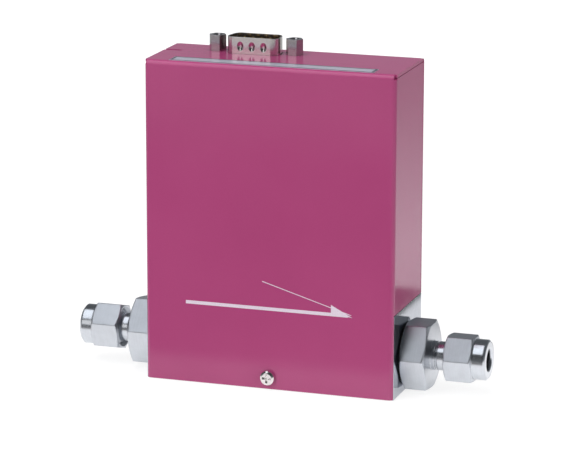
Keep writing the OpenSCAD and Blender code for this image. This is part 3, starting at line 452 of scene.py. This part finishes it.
def slot_materials():
    """The material of each slot, by the slot's name, and the ink of the flow arrow."""
    made = {name: steel(name, **settings) for name, settings in METALS.items()}
    made.update({name: plastic(name, **settings) for name, settings in PLASTICS.items()})
    made["cover_paint"] = cover_paint()
    made["copper_winding"] = winding("copper_winding", (0.16, 0.045, 0.016), (0.60, 0.22, 0.09),
                                     pitch=0.25, axis=2)
    made["board_laminate"] = board_laminate()
    made["cable_grey"] = ribbon()
    made["label_film"] = label_film()
    made["arrow_ink"] = arrow_ink()
    return made


def node_materials():
    """The material of each node whose finish differs from that of its slot."""
    made = {
        "jackscrews": steel("jackscrew_nickel", (0.47, 0.43, 0.44), (0.10, 0.20),
                            scale=2600, depth=0.0012, spots=0.06, edge=0.12),
        "connector_shell": steel("shell_nickel", (0.83, 0.77, 0.74), (0.14, 0.24),
                                 scale=2200, depth=0.0010, edge=0.12, dimples=0.46),
    }
    for name in ("upstream_winding", "downstream_winding"):
        made[name] = winding(name, (0.20, 0.05, 0.02), (0.62, 0.25, 0.10),
                             pitch=0.12, axis=0, depth=0.01)
    return made


def dress_nodes(materials):
    """Gives each CAD node its own material, or else that of the slot it carries."""
    own = node_materials()
    for name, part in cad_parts.items():
        for carried in part.material_slots:
            carried.material = own.get(name) or materials[carried.material.name]


# ---------------------------------------------------------------- added pieces

def mesh_of(made, name):
    """A mesh from the bmesh made, with its faces turned outward."""
    bmesh.ops.recalc_face_normals(made, faces=made.faces)
    mesh = bpy.data.meshes.new(name)
    made.to_mesh(mesh)
    made.free()
    return mesh


def add_piece(name, mesh, finish):
    """A new piece, which rides on the controller's body. finish is the material that it is given."""
    piece = bpy.data.objects.new(name, mesh)
    bpy.context.scene.collection.objects.link(piece)
    mesh.materials.append(finish)
    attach(piece, BODY)
    return piece


# the flow arrow on the cover's front, in mm: x along the front and z above the base
BAR_START = -26.8
BAR_LOW, BAR_TOP = 25.22, 26.28
TIP_X = 27.0
BAR_END = (TIP_X - 1.2, TIP_X - 3.0)            # of the bar's lower and upper edge, under the head
HEAD_START = 20.2
HEAD_TOP = 28.75
HEAD_OVERLAP = 0.02                             # of the head with the bar
LINE_START = (-1.9, 34.45)                      # upper end of the thin line that runs down to the tip
LINE_WIDTH = 0.25
LINE_END = ((TIP_X - 0.6, 25.9), (TIP_X - 0.2, 26.0))
INK_PROUD = 0.025                               # over the paint
INK_STEP = 0.003                                # by which each outline stands prouder than the one before
INK_SUNK = 0.005                                # below the paint's surface, so that no gap shows


def flow_arrow(materials):
    """The printed flow arrow: a long bar, a slender head at its end and the thin line down to the tip."""
    front_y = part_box("cover")[0].y
    bar = [(BAR_START, BAR_LOW), (BAR_END[0], BAR_LOW), (BAR_END[1], BAR_TOP), (BAR_START, BAR_TOP)]
    head = [(HEAD_START, BAR_TOP - HEAD_OVERLAP), (TIP_X, BAR_LOW), (HEAD_START, HEAD_TOP)]
    line = [LINE_START, (LINE_START[0], LINE_START[1] - LINE_WIDTH), *LINE_END]
    made = bmesh.new()
    for n, outline in enumerate((bar, head, line)):
        proud = (INK_PROUD + INK_STEP * n) * MM
        front = [made.verts.new((x * MM, front_y - proud, z * MM)) for x, z in outline]
        back = [made.verts.new((x * MM, front_y + INK_SUNK * MM, z * MM)) for x, z in outline]
        made.faces.new(front)
        made.faces.new(back[::-1])
        for i in range(len(outline)):
            j = (i + 1) % len(outline)
            made.faces.new((front[j], front[i], back[i], back[j]))
    add_piece("flow_arrow", mesh_of(made, "flow_arrow"), materials["arrow_ink"])


SPRING_TURNS = 6
SPRING_WIRE = 0.3 * MM      # radius of its wire
STEPS_A_TURN = 36
WIRE_SIDES = 12


def valve_spring(materials):
    """The spring over the plunger, drawn as a coil of wire in place of the CAD spring, which it hides."""
    low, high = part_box("plunger_spring")
    middle = (low + high) / 2
    radius = (high.x - low.x) / 2 - SPRING_WIRE
    rise = high.z - low.z - 2 * SPRING_WIRE
    rings = SPRING_TURNS * STEPS_A_TURN
    made = bmesh.new()
    loops = []
    for i in range(rings + 1):
        turn = 2 * math.pi * i / STEPS_A_TURN
        loop = []
        for k in range(WIRE_SIDES):
            round_wire = 2 * math.pi * k / WIRE_SIDES
            out = radius + SPRING_WIRE * math.cos(round_wire)
            z = low.z + SPRING_WIRE + rise * i / rings + SPRING_WIRE * math.sin(round_wire)
            loop.append(made.verts.new((middle.x + out * math.cos(turn), middle.y + out * math.sin(turn), z)))
        loops.append(loop)
    for one, two in zip(loops, loops[1:]):
        for k in range(WIRE_SIDES):
            after = (k + 1) % WIRE_SIDES
            made.faces.new((one[k], one[after], two[after], two[k]))
    made.faces.new(loops[0][::-1])
    made.faces.new(loops[-1])
    mesh = mesh_of(made, "valve_spring")
    for face in mesh.polygons:
        face.use_smooth = len(face.vertices) == 4
    spring = add_piece("valve_spring", mesh, materials["stainless_small"])
    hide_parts("plunger_spring")
    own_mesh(spring)


# ---------------------------------------------------------------- studio

WHITE = (1, 1, 1)
FLOOR_HALF = 4.0                            # half the floor's width
FLOOR_DROP = 0.05 * MM                      # from the part's underside to the floor
FLOOR_TINT = (0.975, 0.985, 0.985)          # of the light that the floor throws on the part
FLOOR_GREY = (0.26, 0.26, 0.26)             # to the camera, which sees the floor glow as well
POOL_MIDDLE = (0.05, 0.09, 0)               # of the pool of light round the part
# painted shade, darkening the floor's colour:
# two dark places on the floor, which show only in what paint and metal mirror. The patch lies behind the
# part on the right. It is set for the photograph's dark reflection at the foot of the cover's right
# side, and it also shows as a streak on the rear flap. It starts, is full, starts to fade and is gone at:
PATCH_X = (0.0645, 0.0665, 0.080, 0.086)
PATCH_Y = (0.064, 0.074, 0.113, 0.119)
PATCH_DEPTH = 0.92
# the stretch in front of the part: each of its edges from dark to pale, and how much light is left in it
DARK_BACK = (-0.050, -0.036)
DARK_FRONT = (-0.30, -0.42)
DARK_SIDES = ((0.05, 0.15), (-0.22, -0.32))
DARK_LEVEL = 0.30
# the light of the room that metal mirrors, and the even light that all else gets
ROOM_TINT = (0.93, 1.0, 1.07)
EVEN_LIGHT = (0.47, 0.47, 0.475)


def area_light(name, at, aim, size, watts, colour=WHITE, mirrored=True):
    """A soft box, its width kept along X as nearly as it can be.

    One that isn't mirrored fills shadows and shows in no metal.
    """
    data = bpy.data.lights.new(name, "AREA")
    data.shape = "RECTANGLE"
    data.size, data.size_y = size
    data.energy = watts
    data.color = colour
    lamp = bpy.data.objects.new(name, data)
    back = (Vector(at) - Vector(aim)).normalized()
    across = (Vector((1, 0, 0)) - back * back.x).normalized()
    lamp.matrix_world = matrix_at(at, across, back.cross(across), back)
    lamp.visible_camera = False
    lamp.visible_glossy = mirrored
    bpy.context.scene.collection.objects.link(lamp)


def mirrored_share(tree, path):
    """1 for light that a surface mirrors or lets through, and 0 for the rest."""
    rays = path.outputs["Is Glossy Ray"], path.outputs["Is Transmission Ray"]
    return math_node(tree, "ADD", *rays, clamp=True)


def lit_share(tree, x, y):
    """How much of the floor's light is mirrored: less on the dark stretch and on the dark patch."""
    # painted shade: the dark stretch in front of the part and the dark patch behind it
    stretch = between(tree, y, *DARK_BACK, DARK_LEVEL, 1.0)
    for value, edge in ((y, DARK_FRONT), (x, DARK_SIDES[0]), (x, DARK_SIDES[1])):
        stretch = math_node(tree, "MAXIMUM", stretch, between(tree, value, *edge))
    patch = product(tree, window(tree, x, *PATCH_X), window(tree, y, *PATCH_Y))
    return product(tree, stretch, math_node(tree, "MULTIPLY_ADD", patch, -PATCH_DEPTH, 1.0))


def floor_material():
    """White with a soft shadow to the camera. Paint and metal mirror a painted pool of light with two places
    of painted shade.
    """
    made = bpy.data.materials.new("floor")
    made.use_nodes = True
    tree = made.node_tree
    tree.nodes.clear()
    path = node(tree, "LightPath")
    seen = path.outputs["Is Camera Ray"]
    mirrored = mirrored_share(tree, path)
    x, y, _ = xyz_of(tree)
    away = node(tree, "VectorMath", {0: place(tree), 1: POOL_MIDDLE}, operation="DISTANCE").outputs["Value"]
    fading = [(0.0, 1.0), (0.18, 0.84), (0.35, 0.68), (0.6, 0.50), (1.0, 0.45)]
    # painted light: the floor's colour fades away from the part
    pool = ramp(tree, between(tree, away, 0.10, 0.55), fading)
    lit = mixed(tree, mirrored, WHITE, lit_share(tree, x, y))
    pool = product(tree, pool, lit)
    grain = between(tree, noise(tree, place(tree), 40, 3), 0.3, 0.7, 0.97, 1.0)
    pale = product(tree, pool, grain, 0.80)
    tinted = mixed(tree, pale, (0, 0, 0), FLOOR_TINT)
    albedo = mixed(tree, seen, tinted, FLOOR_GREY)
    # painted light: to paint and metal, the floor glows, most near the part
    near = between(tree, math_node(tree, "ABSOLUTE", y), 0.030, 0.075, 0.40, 0.12)
    glow = product(tree, mirrored, pool, near)
    glow = math_node(tree, "MULTIPLY_ADD", seen, between(tree, away, 0.25, 0.9, 0.80, 1.0), glow)
    diffuse = node(tree, "BsdfDiffuse", {"Color": albedo}).outputs[0]
    emission = node(tree, "Emission", {"Color": (*WHITE, 1), "Strength": glow}).outputs[0]
    top = node(tree, "AddShader", {0: diffuse, 1: emission}).outputs[0]
    clear = node(tree, "BsdfTransparent").outputs[0]
    under = node(tree, "NewGeometry").outputs["Backfacing"]
    surface = node(tree, "MixShader", {0: under, 1: top, 2: clear}).outputs[0]
    node(tree, "OutputMaterial", {"Surface": surface})
    return made


def make_floor():
    """A pale floor, which can be looked through from below."""
    mesh = bpy.data.meshes.new("floor")
    corners = [(x * FLOOR_HALF, y * FLOOR_HALF, 0) for x, y in ((-1, -1), (1, -1), (1, 1), (-1, 1))]
    mesh.from_pydata(corners, [], [(0, 1, 2, 3)])
    mesh.materials.append(floor_material())
    floor = bpy.data.objects.new("floor", mesh)
    floor.location.z = -FLOOR_DROP
    bpy.context.scene.collection.objects.link(floor)


def make_world():
    """White where the camera looks past the object, a studio for metal to mirror, and an even fill."""
    world = bpy.data.worlds.new("studio")
    bpy.context.scene.world = world
    world.use_nodes = True
    tree = world.node_tree
    tree.nodes.clear()
    path = node(tree, "LightPath")
    _, y, z = node(tree, "SeparateXYZ", {0: node(tree, "TexCoord").outputs["Generated"]}).outputs
    walls = [(0.0, 0.36), (0.235, 0.34), (0.30, 0.17), (0.45, 0.13), (1.0, 0.10)]
    rise = ramp(tree, between(tree, z, -0.1, 1.0), walls)
    room = product(tree, rise, between(tree, y, -0.5, 0.1, 0.30, 1.0))
    cool = node(tree, "VectorMath", {0: ROOM_TINT, "Scale": room}, operation="SCALE").outputs[0]
    level = mixed(tree, mirrored_share(tree, path), EVEN_LIGHT, cool)
    level = mixed(tree, path.outputs["Is Camera Ray"], level, WHITE)
    background = node(tree, "Background", {"Color": level, "Strength": 1.0}).outputs[0]
    node(tree, "OutputWorld", {"Surface": background})


def make_studio():
    """The floor, the surroundings and the lamps."""
    make_floor()
    make_world()
    middle = (0, 0, 0.045)
    inlet = (-0.057, 0, 0.011)
    fill_size = (0.9, 0.9)
    area_light("key", at=(-0.34, -0.36, 1.10), aim=middle, size=(0.50, 1.28), watts=2.9,
               colour=(0.96, 1.0, 1.05))
    area_light("overhead_fill", at=(-0.20, -0.25, 1.20), aim=middle, size=(1.2, 1.2), watts=7.0,
               mirrored=False)
    area_light("left_card", at=(-0.215, -0.45, 0.18), aim=inlet, size=(0.20, 0.22), watts=0.13)
    area_light("front_fill", at=(-0.66, -1.20, 0.50), aim=middle, size=fill_size, watts=6.0, mirrored=False)
    area_light("back_fill", at=(-0.10, 1.35, 0.55), aim=middle, size=fill_size, watts=4.5, mirrored=False)
    area_light("right_fill", at=(1.25, -0.50, 0.50), aim=middle, size=fill_size, watts=5.5, mirrored=False)


# ---------------------------------------------------------------- build

make_camera()
materials = slot_materials()
dress_nodes(materials)
flow_arrow(materials)
valve_spring(materials)
make_studio()
bpy.context.scene.view_settings.view_transform = "Standard"
